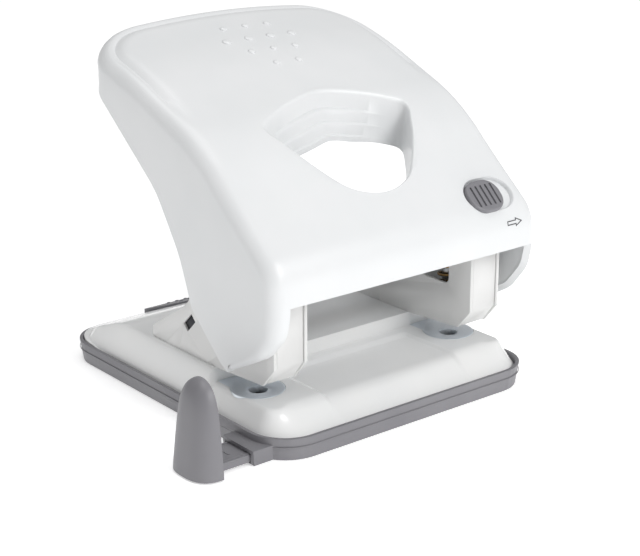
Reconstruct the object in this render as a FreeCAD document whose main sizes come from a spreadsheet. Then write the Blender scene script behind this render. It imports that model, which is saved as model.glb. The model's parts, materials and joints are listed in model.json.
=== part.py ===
import FreeCAD, Part
import math
import os
import Sketcher

# Two-hole desk punch. X runs along the line of the two holes, Y away from the user, Z up.
# The origin lies on the table, midway between the two holes.

SIZES = {
    # base outline and heights
    "base_width": 108.0,
    "base_front": 27.9,
    "base_rear": 92.8,
    "base_corner": 13.7,
    "tray_height": 7.2,
    "tray_wall": 1.2,
    "tray_floor": 1.6,
    "seat_width": 1.8,
    "seat_depth": 2.0,
    "edge_gap": 0.35,
    # pressed bedplate
    "paper_height": 13.3,
    "bed_gauge": 1.5,
    "stop_height": 4.3,
    "stop_depth": 12.4,
    "skirt_side": 4.0,
    "skirt_front": 9.5,
    "skirt_rear": 27.0,
    "bed_corner": 9.0,
    "bed_edge_radius": 2.4,
    "recess_width": 54.0,
    "recess_depth": 0.8,
    "recess_rear": 7.0,
    "notch_radius": 34.0,
    "notch_depth": 9.0,
    # punching
    "hole_spacing": 80.0,
    "pin_radius": 2.9,
    "die_bore": 3.0,
    "die_radius": 8.5,
    "die_neck": 16.5,
    "die_thickness": 2.0,
    "dish_radius": 8.0,
    "dish_depth": 0.5,
    "punch_past_die": 1.9,
    # towers
    "tower_width": 12.8,
    "plate_gauge": 1.2,
    "tower_front": 16.6,
    "throat_front": 5.8,
    "lead_in_depth": 11.0,
    "lead_in_height": 12.3,
    "tower_top": 51.0,
    "bracket_rear": 48.6,
    "tie_height": 3.0,
    "tie_width": 6.1,
    "tie_back": 27.2,
    "tie_up": 15.0,
    "window_front": 6.2,
    "window_rear": 6.9,
    "window_bottom": 19.5,
    # pivot, press rod and pins
    "pivot_back": -12.2,
    "pivot_up": 40.0,
    "axle_radius": 2.5,
    "rod_radius": 2.5,
    "rod_arm": 13.0,
    "press_angle": 35.0,
    "roller_radius": 4.0,
    "guide_height": 7.0,
    "guide_floor": 6.0,
    "spring_radius": 3.75,
    "spring_wire": 0.45,
    # handle
    "handle_width": 108.0,
    "handle_wall": 2.6,
    "handle_front": 26.4,
    "lip_bottom": 34.3,
    "lip_corner": 45.5,
    "bend_back": 2.0,
    "bend_up": 71.8,
    "handle_back": 75.0,
    "handle_top": 104.0,
    "handle_edge": 5.0,
    "cheek_gauge": 1.5,
    "cheek_gap": 1.0,
    "screw_radius": 1.45,
    # lock slider
    "lock_across": 35.0,
    "lock_back": -19.6,
    "lock_travel": 5.5,
    "button_width": 13.6,
    "button_length": 11.6,
    # paper guide
    "guide_face": 70.5,
    "guide_width": 12.0,
    "guide_front": 20.5,
    "guide_gauge": 2.5,
    "guide_lift": 1.05,
    "fin_height": 29.6,
    # running gaps
    "run_gap": 0.05,
    "fit_gap": 0.02,
}


class Size:
    """A number together with the spreadsheet expression that drives it."""

    def __init__(self, value, text):
        self.value = float(value)
        self.text = text

    def __add__(self, other):
        other = as_size(other)
        return Size(self.value + other.value, f"({self.text} + {other.text})")

    def __sub__(self, other):
        other = as_size(other)
        return Size(self.value - other.value, f"({self.text} - {other.text})")

    def __mul__(self, other):
        other = as_size(other)
        return Size(self.value * other.value, f"({self.text} * {other.text})")

    def __truediv__(self, other):
        other = as_size(other)
        return Size(self.value / other.value, f"({self.text} / {other.text})")

    def __neg__(self):
        return Size(-self.value, f"(0 - {self.text})")

    def root(self):
        return Size(math.sqrt(self.value), f"sqrt({self.text})")

    def __radd__(self, other):
        return as_size(other) + self

    def __rsub__(self, other):
        return as_size(other) - self

    def __rmul__(self, other):
        return as_size(other) * self


def as_size(number):
    if isinstance(number, Size):
        return number
    return Size(number, f"({float(number):.6f})")


class Sheet:
    """Named sizes of the spreadsheet, as attributes."""

    def __init__(self, doc):
        self.cells = doc.addObject("Spreadsheet::Sheet", "Sizes")
        for row, (alias, value) in enumerate(SIZES.items(), start=1):
            self.cells.set(f"A{row}", alias)
            self.cells.set(f"B{row}", str(value))
            self.cells.setAlias(f"B{row}", alias)

    def __getattr__(self, alias):
        return Size(SIZES[alias], f"Sizes.{alias}")


doc = FreeCAD.newDocument("hole_punch")
dim = Sheet(doc)
doc.recompute()
finished = []

X_AXIS = FreeCAD.Vector(1, 0, 0)
Y_AXIS = FreeCAD.Vector(0, 1, 0)
Z_AXIS = FreeCAD.Vector(0, 0, 1)
ALONG_X = FreeCAD.Rotation(Y_AXIS, 90)
UPRIGHT = FreeCAD.Rotation()
SIDES = {"left": -1, "right": 1}


# ---- small helpers -------------------------------------------------------------------------

def drive(obj, **sizes):
    """Bind properties to sizes; a dot in a property's path is written as two underscores."""
    for path, size in sizes.items():
        obj.setExpression(path.replace("__", "."), as_size(size).text)


def place(obj, x=0, y=0, z=0, rotation=UPRIGHT):
    at = [as_size(number) for number in (x, y, z)]
    obj.Placement = FreeCAD.Placement(FreeCAD.Vector(*(size.value for size in at)), rotation)
    drive(obj, Placement__Base__x=at[0], Placement__Base__y=at[1], Placement__Base__z=at[2])
    return obj


def box(name, low, high):
    """Box between two corners."""
    low = [as_size(number) for number in low]
    high = [as_size(number) for number in high]
    obj = doc.addObject("Part::Box", name)
    drive(obj, Length=high[0] - low[0], Width=high[1] - low[1], Height=high[2] - low[2])
    return place(obj, *low)


def rod(name, radius, length, at, rotation=UPRIGHT):
    obj = doc.addObject("Part::Cylinder", name)
    drive(obj, Radius=radius, Height=length)
    return place(obj, *at, rotation=rotation)


def cut(name, base, tools):
    return boolean("Part::Cut", name, base, tools)


def fuse(name, parts):
    obj = doc.addObject("Part::MultiFuse", name)
    obj.Shapes = parts
    obj.Refine = True
    return obj


def boolean(kind, name, base, tools):
    obj = doc.addObject(kind, name)
    obj.Base = base
    obj.Tool = tools[0] if len(tools) == 1 else fuse(f"{name}_tools", tools)
    obj.Refine = True
    return obj


def finish(obj, label):
    obj.Label = label
    finished.append(obj)
    return obj


def new_body(name):
    return doc.addObject("PartDesign::Body", name)


def new_sketch(body, role, name, offset=0):
    plane = next(item for item in body.Origin.OriginFeatures if item.Role == role)
    sketch = body.newObject("Sketcher::SketchObject", name)
    sketch.AttachmentSupport = [(plane, "")]
    sketch.MapMode = "FlatFace"
    offset = as_size(offset)
    sketch.AttachmentOffset = FreeCAD.Placement(FreeCAD.Vector(0, 0, offset.value), UPRIGHT)
    sketch.setExpression("AttachmentOffset.Base.z", offset.text)
    return sketch


def fix_point(sketch, geometry, end, corner):
    """Hold one point of a sketch at two driven distances from the sketch's origin."""
    for kind, size in zip(("DistanceX", "DistanceY"), corner):
        number = sketch.addConstraint(Sketcher.Constraint(kind, -1, 1, geometry, end, size.value))
        sketch.setExpression(f"Constraints[{number}]", size.text)


def fix_radius(sketch, geometry, radius):
    number = sketch.addConstraint(Sketcher.Constraint("Radius", geometry, radius.value))
    sketch.setExpression(f"Constraints[{number}]", radius.text)


def draw_circle(sketch, x, y, radius):
    x, y, radius = as_size(x), as_size(y), as_size(radius)
    centre = FreeCAD.Vector(x.value, y.value, 0)
    circle = sketch.addGeometry(Part.Circle(centre, Z_AXIS, radius.value))
    fix_point(sketch, circle, 3, (x, y))
    fix_radius(sketch, circle, radius)


def trimmed_corner(before, corner, after, radius):
    """The two points where an arc of this radius meets a corner's two lines."""
    came = unit(before[0] - corner[0], before[1] - corner[1])
    goes = unit(after[0] - corner[0], after[1] - corner[1])
    cosine = came[0] * goes[0] + came[1] * goes[1]
    reach = radius * ((1 + cosine) / (1 - cosine)).root()
    start = (corner[0] + came[0] * reach, corner[1] + came[1] * reach)
    end = (corner[0] + goes[0] * reach, corner[1] + goes[1] * reach)
    return start, end


def unit(x, y):
    length = (x * x + y * y).root()
    return x / length, y / length


def corner_arc(first, corner, second, radius):
    """Anticlockwise arc of a rounded corner, from its first end to its second."""
    first, corner, second = (FreeCAD.Vector(point[0].value, point[1].value, 0) for point in (first, corner, second))
    inward = (first + second) / 2 - corner
    centre = corner + inward.normalize() * math.hypot((first - corner).Length, radius.value)
    turns = [math.atan2(end.y - centre.y, end.x - centre.x) for end in (first, second)]
    if turns[1] < turns[0]:
        turns[1] += 2 * math.pi
    return Part.ArcOfCircle(Part.Circle(centre, Z_AXIS, radius.value), *turns)


def turns_left(before, corner, after):
    came = (corner[0].value - before[0].value, corner[1].value - before[1].value)
    goes = (after[0].value - corner[0].value, after[1].value - corner[1].value)
    return came[0] * goes[1] - came[1] * goes[0] > 0


def draw_outline(sketch, corners):
    """Closed outline through (x, y) or (x, y, radius) corners; a radius rounds that corner."""
    corners = [[as_size(number) for number in corner] for corner in corners]
    count = len(corners)
    ends = []
    for index, corner in enumerate(corners):
        start = end = corner[:2]
        if len(corner) == 3:
            start, end = trimmed_corner(corners[index - 1], corner, corners[(index + 1) % count], corner[2])
        ends.append((start, end))
    for index, corner in enumerate(corners):
        start, end = ends[index]
        goes_to = ends[(index + 1) % count][0]
        from_point, to_point = (FreeCAD.Vector(point[0].value, point[1].value, 0) for point in (end, goes_to))
        line = sketch.addGeometry(Part.LineSegment(from_point, to_point))
        fix_point(sketch, line, 1, end)
        fix_point(sketch, line, 2, goes_to)
        if len(corner) == 3:
            if not turns_left(corners[index - 1], corner, corners[(index + 1) % count]):
                start, end = end, start
            arc = sketch.addGeometry(corner_arc(start, corner, end, corner[2]))
            fix_point(sketch, arc, 1, start)
            fix_point(sketch, arc, 2, end)
            fix_radius(sketch, arc, corner[2])


def rounded(x0, x1, y0, y1, radius):
    return [(x0, y0, radius), (x1, y0, radius), (x1, y1, radius), (x0, y1, radius)]


def pad(body, sketch, length, middle=False, backwards=False):
    feature = body.newObject("PartDesign::Pad", f"{sketch.Name}_pad")
    feature.Profile = sketch
    feature.Midplane = middle
    feature.Reversed = backwards
    drive(feature, Length=length)
    return feature


def pocket(body, sketch, length, middle=False, backwards=False):
    feature = body.newObject("PartDesign::Pocket", f"{sketch.Name}_pocket")
    feature.Profile = sketch
    feature.Midplane = middle
    feature.Reversed = backwards
    drive(feature, Length=length)
    return feature


def fillet(body, name, radius, wanted):
    """Round the edges of the body's last feature for which wanted(edge) is true."""
    doc.recompute()
    base = body.Tip
    names = [f"Edge{i}" for i, edge in enumerate(base.Shape.Edges, start=1) if wanted(edge)]
    feature = body.newObject("PartDesign::Fillet", name)
    feature.Base = (base, names)
    drive(feature, Radius=radius)
    return feature


def edge_box(edge):
    return edge.BoundBox


def near(a, b):
    return abs(a - b) < 0.05


# ---- places that several parts share -------------------------------------------------------

half_base = dim.base_width / 2
bed_inset = dim.tray_wall + dim.edge_gap
bed_floor = dim.tray_height - dim.seat_depth
bed_top = dim.paper_height + dim.stop_height
tower_x = dim.hole_spacing / 2
half_tower = dim.tower_width / 2
pivot_z = dim.paper_height + dim.pivot_up
half_press = math.radians(SIZES["press_angle"] / 2)
rod_back = dim.pivot_back + dim.rod_arm * math.cos(half_press)
rod_z = pivot_z + dim.rod_arm * math.sin(half_press)
pin_stroke = dim.rod_arm * (2 * math.sin(half_press))
pin_top = rod_z - dim.roller_radius - 0.1
pin_tip = dim.paper_height - dim.punch_past_die + pin_stroke
guide_top = dim.paper_height + dim.guide_floor + dim.guide_height
collar_top = pin_top - 2.4
collar_bottom = collar_top - 0.8
half_handle = dim.handle_width / 2
handle_inside = half_handle - dim.handle_wall
cheek_x = tower_x + half_tower + dim.cheek_gap
skin_slope = math.atan2(SIZES["bend_up"] - SIZES["lip_corner"], SIZES["bend_back"] + SIZES["handle_front"])


def above_paper(height):
    return dim.paper_height + height


# ---- base ----------------------------------------------------------------------------------

def bed_block(name, inset):
    """Hipped block with a raised rear, drawn in by inset on every side."""
    body = new_body(name)
    half = half_base - bed_inset - inset
    front = dim.base_front - bed_inset - inset
    rear = dim.base_rear - bed_inset - inset
    low = new_sketch(body, "XY_Plane", f"{name}_low", bed_floor)
    draw_outline(low, rounded(-half, half, -front, rear, dim.base_corner - bed_inset - inset))
    high = new_sketch(body, "XY_Plane", f"{name}_high", bed_top - inset)
    top = half - dim.skirt_side
    draw_outline(high, rounded(-top, top, dim.skirt_front - front, rear - dim.skirt_rear, dim.bed_corner))
    doc.recompute()
    loft = body.newObject("PartDesign::AdditiveLoft", f"{name}_loft")
    loft.Profile = low
    loft.Sections = [high]
    loft.Ruled = True
    # the paper plane lies lower than the rear, which makes the back stop
    step = new_sketch(body, "YZ_Plane", f"{name}_step")
    stop = dim.stop_depth + inset
    plane = dim.paper_height - inset
    draw_outline(step, [(-dim.base_front - 10, plane), (stop, plane), (stop, plane + 20),
                        (-dim.base_front - 10, plane + 20)])
    pocket(body, step, dim.base_width * 2, middle=True)
    recess = new_sketch(body, "XY_Plane", f"{name}_recess", plane - dim.recess_depth)
    wide = dim.recess_width / 2 + inset
    draw_outline(recess, [(-wide, -dim.base_front - 10), (wide, -dim.base_front - 10),
                          (wide, dim.recess_rear + inset), (-wide, dim.recess_rear + inset)])
    pocket(body, recess, dim.recess_depth + 1, backwards=True)
    return body


def keyhole(name, x, radius, half_neck, z0, z1):
    """Round plate with a neck towards the rear, as a solid between two heights."""
    disc = rod(f"{name}_disc", radius, z1 - z0, (x, 0, z0))
    neck = box(f"{name}_neck", (x - half_neck, 0, z0), (x + half_neck, dim.die_neck + radius - dim.die_radius, z1))
    return fuse(name, [disc, neck])


def make_bedplate():
    outer = bed_block("bed_outer", as_size(0))
    fillet(outer, "bed_outer_round", dim.bed_edge_radius,
           lambda edge: near(edge_box(edge).ZMin, bed_top.value) and near(edge_box(edge).ZMax, bed_top.value)
           and edge_box(edge).YMin > SIZES["stop_depth"] - 0.1)
    inner = bed_block("bed_inner", dim.bed_gauge)
    tools = [inner]
    for side, sign in SIDES.items():
        tools.append(keyhole(f"die_hole_{side}", sign * tower_x, dim.die_radius + dim.run_gap,
                             half_tower + dim.run_gap, bed_floor, bed_top + 1))
        for face, across in (("outer", 1), ("inner", -1)):
            centre = sign * (tower_x + across * (half_tower - dim.plate_gauge / 2))
            half = dim.plate_gauge / 2 + dim.run_gap
            for place_name, start, end in TABS:
                tools.append(box(f"slot_{side}_{face}_{place_name}", (centre - half, start - 0.1, bed_floor),
                                 (centre + half, end + 0.1, bed_top + 1)))
    notch_back = dim.base_rear - bed_inset - dim.notch_depth + dim.notch_radius
    tools.append(rod("finger_notch", dim.notch_radius, bed_top, (0, notch_back, bed_floor - 1)))
    wide = dim.recess_width / 2
    tools.append(box("front_notch", (-wide, -dim.base_front, bed_floor - 1),
                     (wide, 10 - dim.base_front, bed_floor + 0.7)))
    return finish(cut("bedplate_cut", outer, tools), "bedplate")


TABS = (("front", 17.5, 28.0), ("back", 33.0, 41.0))


def make_tray():
    body = new_body("tray_body")
    outline = new_sketch(body, "XY_Plane", "tray_outline")
    draw_outline(outline, rounded(-half_base, half_base, -dim.base_front, dim.base_rear, dim.base_corner))
    pad(body, outline, dim.tray_height)
    seat = new_sketch(body, "XY_Plane", "tray_seat", bed_floor)
    inset = dim.tray_wall
    draw_outline(seat, rounded(inset - half_base, half_base - inset, inset - dim.base_front,
                               dim.base_rear - inset, dim.base_corner - inset))
    pocket(body, seat, dim.seat_depth + 1, backwards=True)
    well = new_sketch(body, "XY_Plane", "tray_well", dim.tray_floor)
    inset = dim.tray_wall + dim.seat_width
    draw_outline(well, rounded(inset - half_base, half_base - inset, inset - dim.base_front,
                               dim.base_rear - inset, dim.base_corner - inset))
    pocket(body, well, dim.tray_height, backwards=True)
    gap = 0.35
    front = -dim.guide_front - gap
    rear = dim.guide_width - dim.guide_front + gap
    rib_top = dim.guide_lift + dim.guide_gauge + gap + dim.tray_wall
    rib = box("guide_rib", (-half_base - 4.5, front - 1.4, 0), (half_base - 6, rear + 1.4, rib_top))
    channel = box("guide_channel", (-half_base - 6, front, dim.guide_lift - gap),
                  (half_base - 7.5, rear, dim.guide_lift + dim.guide_gauge + gap))
    tab_reach = dim.notch_radius - 0.4
    tab_round = rod("tab_round", tab_reach, dim.tray_height,
                    (0, dim.base_rear - bed_inset - dim.notch_depth + dim.notch_radius, bed_floor - 1))
    tab_block = box("tab_block", (-21.5, dim.base_rear - dim.notch_depth - 3, bed_floor - 1),
                    (21.5, dim.base_rear, dim.tray_height + 1.4))
    tab = boolean("Part::Common", "finger_tab", tab_block, [tab_round])
    whole = fuse("tray_whole", [body, rib, tab])
    return finish(cut("tray_cut", whole, [channel]), "chip_tray")


def make_die(side, sign):
    x = sign * tower_x
    top = dim.paper_height
    plate = keyhole(f"die_plate_{side}", x, dim.die_radius, half_tower, top - dim.die_thickness, top)
    under = top - dim.bed_gauge
    flange_in = x - sign * 10.4
    flange_out = x + sign * 7.8
    low, high = (flange_out, flange_in) if sign < 0 else (flange_in, flange_out)
    flange = box(f"die_flange_{side}", (low, -11.0, under - 1.2), (high, 11.0, under))
    blank = fuse(f"die_blank_{side}", [plate, flange])
    dish = doc.addObject("Part::Cone", f"die_dish_{side}")
    drive(dish, Radius1=dim.dish_radius - 3, Radius2=dim.dish_radius, Height=dim.dish_depth)
    place(dish, x, 0, top - dim.dish_depth)
    bore = rod(f"die_bore_{side}", dim.die_bore, dim.die_thickness * 3, (x, 0, under - 3))
    finish(cut(f"die_cut_{side}", blank, [dish, bore]), f"die_{side}")


# ---- towers --------------------------------------------------------------------------------

def bracket_outline():
    """Side view of a bracket plate, from the back of the throat forwards."""
    back = dim.bracket_rear
    seat = bed_top
    corners = [
        (dim.stop_depth + 0.2, seat),
        (-dim.lead_in_depth, above_paper(dim.throat_front)),
        (-dim.tower_front, above_paper(dim.lead_in_height)),
        (-dim.tower_front, pivot_z - 8.5, 3),
        (dim.pivot_back - 6.5, pivot_z - 3.5, 3),
        (dim.pivot_back - 6.5, pivot_z + 6.5, 6.0),
        (dim.pivot_back + 4.6, pivot_z + 6.5, 1.0),
        (dim.pivot_back + 6.6, above_paper(dim.tower_top), 1.5),
        (12.0, above_paper(dim.tower_top), 4),
        (27.5, seat + 17.0, 18),
        (back, seat + 3.8, 2.2),
        (back, seat, 1.0),
    ]
    for _, start, end in reversed(TABS):
        corners += [(end, seat), (end, seat - dim.bed_gauge - 0.9), (start, seat - dim.bed_gauge - 0.9),
                    (start, seat)]
    return corners


def make_bracket(side, sign, face, across):
    name = f"bracket_{side}_{face}"
    centre = sign * (tower_x + across * (half_tower - dim.plate_gauge / 2))
    body = new_body(f"{name}_body")
    outline = new_sketch(body, "YZ_Plane", f"{name}_outline", centre)
    draw_outline(outline, bracket_outline())
    pad(body, outline, dim.plate_gauge, middle=True)
    window = new_sketch(body, "YZ_Plane", f"{name}_window", centre)
    if face == "inner":
        front, rear, bottom = -dim.window_front, as_size(dim.window_rear), above_paper(dim.window_bottom)
    else:
        front, rear, bottom = rod_back - 3.6, rod_back + 4.6, rod_z - pin_stroke - 4.2
    draw_outline(window, rounded(front, rear, bottom, above_paper(dim.tower_top - 2.6), 2.0))
    draw_circle(window, dim.pivot_back, pivot_z, dim.axle_radius + dim.fit_gap)
    pocket(body, window, dim.plate_gauge * 3, middle=True)
    # the tie bar's slot is turned by 45 degrees
    slot = doc.addObject("Part::Box", f"{name}_slot")
    drive(slot, Length=dim.plate_gauge * 3, Width=dim.tie_width + dim.run_gap, Height=dim.tie_height + dim.run_gap)
    place_tilted(slot, centre - dim.plate_gauge * 1.5, dim.tie_width + dim.run_gap, dim.tie_height + dim.run_gap)
    plate = cut(f"{name}_cut", body, [slot])
    if (side, face) == ("right", "outer"):
        plate = fuse(f"{name}_whole", [plate, lock_ear(centre)])
    finish(plate, name)


def place_tilted(obj, x, width, height):
    """Centre a bar's section on the tie bar's axis, turned by 45 degrees."""
    turn = FreeCAD.Rotation(X_AXIS, -45)
    half = math.sqrt(0.5) / 2
    y = dim.tie_back - (width + height) * half
    z = above_paper(dim.tie_up) + (width - height) * half
    place(obj, x, y, z, turn)


def lock_ear(centre):
    """Small ear above the pivot that the lock bolt catches behind."""
    lean = math.radians(9.1)
    ear = doc.addObject("Part::Box", "lock_ear")
    drive(ear, Length=dim.plate_gauge, Width=2.0, Height=5.2)
    turn = FreeCAD.Rotation(X_AXIS, math.degrees(lean))
    y = dim.pivot_back - 5.0 * math.sin(lean) - 1.0 * math.cos(lean)
    z = pivot_z + 5.0 * math.cos(lean) - 1.0 * math.sin(lean)
    return place(ear, centre - dim.plate_gauge / 2, y, z, turn)


def make_tower_front(side, sign):
    name = f"tower_front_{side}"
    body = new_body(f"{name}_body")
    face = dim.tower_front - 0.3
    inside = face - 1.0
    sketch = new_sketch(body, "YZ_Plane", f"{name}_outline", sign * tower_x)
    draw_outline(sketch, [
        (-face, above_paper(dim.lead_in_height) + 0.2),
        (-dim.lead_in_depth - 0.4, above_paper(dim.throat_front) + 0.4),
        (-dim.lead_in_depth + 0.9, above_paper(dim.throat_front) + 0.4),
        (-inside, above_paper(dim.lead_in_height) + 0.6),
        (-inside, pivot_z + 5),
        (-face, pivot_z + 5),
    ])
    pad(body, sketch, dim.tower_width - dim.plate_gauge * 2 - 0.5, middle=True)
    finish(body, name)


def make_pin_guide(side, sign):
    x = sign * tower_x
    half = half_tower - dim.plate_gauge
    floor = above_paper(dim.guide_floor)
    block = box(f"guide_block_{side}", (x - half, -8.0, floor), (x + half, 8.0, guide_top))
    bore = rod(f"guide_bore_{side}", dim.pin_radius + dim.run_gap, dim.guide_height + 2, (x, 0, floor - 1))
    finish(cut(f"guide_cut_{side}", block, [bore]), f"pin_guide_{side}")


def make_tie_bar():
    reach = tower_x + half_tower - 0.6
    bar = doc.addObject("Part::Box", "tie_bar_box")
    drive(bar, Length=reach * 2, Width=dim.tie_width, Height=dim.tie_height)
    place_tilted(bar, -reach, dim.tie_width, dim.tie_height)
    finish(bar, "tie_bar")


def make_axle():
    reach = cheek_x + dim.cheek_gauge + 1.6
    finish(rod("axle_rod", dim.axle_radius, reach * 2, (-reach, dim.pivot_back, pivot_z), ALONG_X), "pivot_axle")


def ring(name, outer, inner, length, x, y, z):
    body = rod(f"{name}_blank", outer, length, (x, y, z), ALONG_X)
    bore = rod(f"{name}_bore", inner, length + 2, (x - 1, y, z), ALONG_X)
    return cut(name, body, [bore])


def make_ring_pair(label, outer, inner, length, start, y, z):
    """Two like rings, one on each side of the punch, as one group of separate solids."""
    pair = [ring(f"{label}_{side}", outer, inner, length, sign * start - (length if sign < 0 else 0), y, z)
            for side, sign in SIDES.items()]
    group = doc.addObject("Part::Compound", f"{label}_group")
    group.Links = pair
    finish(group, label)


# ---- pins and springs ----------------------------------------------------------------------

def make_pin(side, sign):
    x = sign * tower_x
    shank = rod(f"pin_shank_{side}", dim.pin_radius, pin_top - pin_tip, (x, 0, pin_tip))
    head = rod(f"pin_head_{side}", 4.0, pin_top - collar_top, (x, 0, collar_top))
    blank = fuse(f"pin_blank_{side}", [shank, head])
    # the cutting end is ground to a shallow groove, so two points cut first
    groove = rod(f"pin_groove_{side}", 4.0, dim.pin_radius * 3, (x - dim.pin_radius * 1.5, 0, pin_tip - 2.9),
                 ALONG_X)
    finish(cut(f"pin_cut_{side}", blank, [groove]), f"punch_pin_{side}")


def make_collar(side, sign):
    x = sign * tower_x
    disc = rod(f"collar_disc_{side}", 4.6, collar_top - collar_bottom, (x, 0, collar_bottom))
    bore = rod(f"collar_bore_{side}", dim.pin_radius + dim.fit_gap, 3, (x, 0, collar_bottom - 1))
    finish(cut(f"collar_cut_{side}", disc, [bore]), f"spring_collar_{side}")


def make_spring(side, sign):
    turns = 8
    wire = SIZES["spring_wire"]
    radius = SIZES["spring_radius"]
    low = guide_top.value + wire + 0.03
    rise = collar_bottom.value - wire - 0.03 - low
    helix = Part.makeHelix(rise / turns, rise, radius)
    start = FreeCAD.Vector(radius, 0, 0)
    eighths = [Part.makeCircle(wire, start, Y_AXIS, 45 * i, 45 * i + 45) for i in range(8)]
    section = Part.Wire(eighths)
    coil = Part.Wire(helix.Edges).makePipeShell([section], True, True)
    spring = doc.addObject("Part::Feature", f"spring_{side}")
    spring.Shape = coil
    spring.Placement = FreeCAD.Placement(FreeCAD.Vector(sign * tower_x.value, 0, low), UPRIGHT)
    finish(spring, f"return_spring_{side}")


# ---- handle --------------------------------------------------------------------------------

def handle_outline():
    """Front face, sloping front skin and flatter rear skin, as one block down to the table."""
    return [
        (-dim.handle_front, 0),
        (-dim.handle_front, above_paper(dim.lip_corner), 14),
        (dim.bend_back, above_paper(dim.bend_up), 150),
        (dim.handle_back, above_paper(dim.handle_top)),
        (dim.handle_back, 0),
    ]


def handle_underside_outline():
    """What the side panels leave free below and behind them."""
    up = above_paper
    return [
        (-dim.handle_front - 1.9, up(49.0)),
        (-dim.handle_front + 1.4, up(25.5), 12),
        (-dim.handle_front + 9.4, up(16.8), 14),
        (-3.5, up(9.8), 3),
        (14.5, up(25.0), 3),
        (31.0, up(57.5), 30),
        (dim.handle_back - 9.5, up(dim.handle_top) - 20, 4),
        (dim.handle_back + 0.2, up(dim.handle_top) + 4),
        (dim.handle_back + 10, up(dim.handle_top) + 4),
        (dim.handle_back + 10, -10),
        (-dim.handle_front - 1.9, -10),
    ]


def handle_hollow_outline():
    """Space between the side walls: open below and behind, closed by the skin and the lip."""
    up = above_paper
    wall = dim.handle_wall
    lower = 1.0 / math.cos(skin_slope)
    rear_slope = math.atan2(SIZES["handle_top"] - SIZES["bend_up"], SIZES["handle_back"] - SIZES["bend_back"])
    rear_lower = 1.0 / math.cos(rear_slope)
    front_turn = math.tan((math.pi / 2 - skin_slope) / 2)
    middle_turn = math.sin((skin_slope - rear_slope) / 2) / math.cos((skin_slope + rear_slope) / 2 - rear_slope)
    return [
        (-dim.handle_front - 5, up(dim.lip_bottom)),
        (wall - dim.handle_front, up(dim.lip_bottom)),
        (wall - dim.handle_front, up(dim.lip_corner) - wall * front_turn, 12),
        (dim.bend_back + wall * middle_turn, up(dim.bend_up) - wall * (lower + rear_lower) / 2, 147),
        (dim.handle_back - wall * 1.3, up(dim.handle_top) - wall * 1.9, 3),
        (dim.handle_back - 9 - wall * 1.2, up(dim.handle_top) - 22.4),
        (dim.handle_back + 10, up(50.0)),
        (dim.handle_back + 10, up(-5.0)),
        (-dim.handle_front - 5, up(-5.0)),
    ]


def tilted(obj, y, z, shift=0):
    """Lay an object on the sloping front skin, its Z along the skin's outward normal."""
    turn = FreeCAD.Rotation(X_AXIS, math.degrees(skin_slope))
    return place(obj, dim.lock_across + shift, y, z, turn)


lock_z = above_paper(dim.lip_corner) + (dim.lock_back + dim.handle_front) * math.tan(skin_slope)


def make_handle_cover():
    body = new_body("handle_body")
    side_view = new_sketch(body, "YZ_Plane", "handle_side")
    draw_outline(side_view, handle_outline())
    pad(body, side_view, dim.handle_width, middle=True)

    def on_rim(edge):
        bounds = edge_box(edge)
        return near(bounds.XMin, bounds.XMax) and bounds.ZMax > 1 and bounds.YMin < SIZES["handle_back"] - 1

    fillet(body, "handle_round", dim.handle_edge, on_rim)
    underside = new_sketch(body, "YZ_Plane", "handle_underside")
    draw_outline(underside, handle_underside_outline())
    pocket(body, underside, dim.handle_width + 10, middle=True)
    hollow = new_sketch(body, "YZ_Plane", "handle_hollow")
    draw_outline(hollow, handle_hollow_outline())
    pocket(body, hollow, handle_inside * 2, middle=True)
    finger = new_sketch(body, "XY_Plane", "finger_opening", above_paper(40))
    draw_outline(finger, [(-33, 12, 4), (0, 25.5, 45), (33, 12, 4), (14, -13.3, 16), (-14, -13.3, 16)])
    pocket(body, finger, 60, backwards=True)
    tools = [tilted(recess_tool(), dim.lock_back, lock_z)]
    posts = []
    for name, x, y in SCREWS:
        posts.append(rod(f"boss_{name}", 3.0, screw_boss, on_screw(x, y, 0), REAR_TILT))
        tools.append(rod(f"boss_hole_{name}", dim.screw_radius + dim.run_gap, screw_boss, on_screw(x, y, 1), REAR_TILT))
    whole = fuse("handle_whole", [body] + posts)
    return finish(cut("handle_cut", whole, tools), "handle_cover")


def recess_tool():
    """Shallow track for the lock button and the slot for its stem."""
    body = new_body("lock_recess")
    half = dim.button_width / 2 + 0.4
    tall = dim.button_length / 2 + 0.4
    track = new_sketch(body, "XY_Plane", "lock_track", -1.3)
    draw_outline(track, rounded(-half, half + dim.lock_travel, -tall, tall, 5.4))
    pad(body, track, 6)
    slot = new_sketch(body, "XY_Plane", "lock_slot", -6)
    draw_outline(slot, [(-2.4, -1.5), (dim.lock_travel + 2.4, -1.5), (dim.lock_travel + 2.4, 1.5), (-2.4, 1.5)])
    pad(body, slot, 6)
    return body


REAR_ANGLE = math.atan2(SIZES["handle_top"] - SIZES["bend_up"], SIZES["handle_back"] - SIZES["bend_back"])
REAR_TILT = FreeCAD.Rotation(X_AXIS, math.degrees(REAR_ANGLE))
SCREWS = tuple((f"{row}{column}", x, y) for row, y in (("a", 47.0), ("b", 57.0))
               for column, x in ((1, -24.0), (2, 24.0)))
screw_boss = as_size(3.6)


def screw_plane(y):
    """Height of the cross plate's upper face at y, under the rear skin."""
    skin = above_paper(dim.handle_top) - (dim.handle_back - y) * math.tan(REAR_ANGLE)
    return skin - (dim.handle_wall + 3.0) / math.cos(REAR_ANGLE)


def on_screw(x, y, drop):
    """Point on a screw's axis, this far below the cross plate's upper face."""
    return x, y + as_size(drop) * math.sin(REAR_ANGLE), screw_plane(y) - as_size(drop) * math.cos(REAR_ANGLE)


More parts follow.
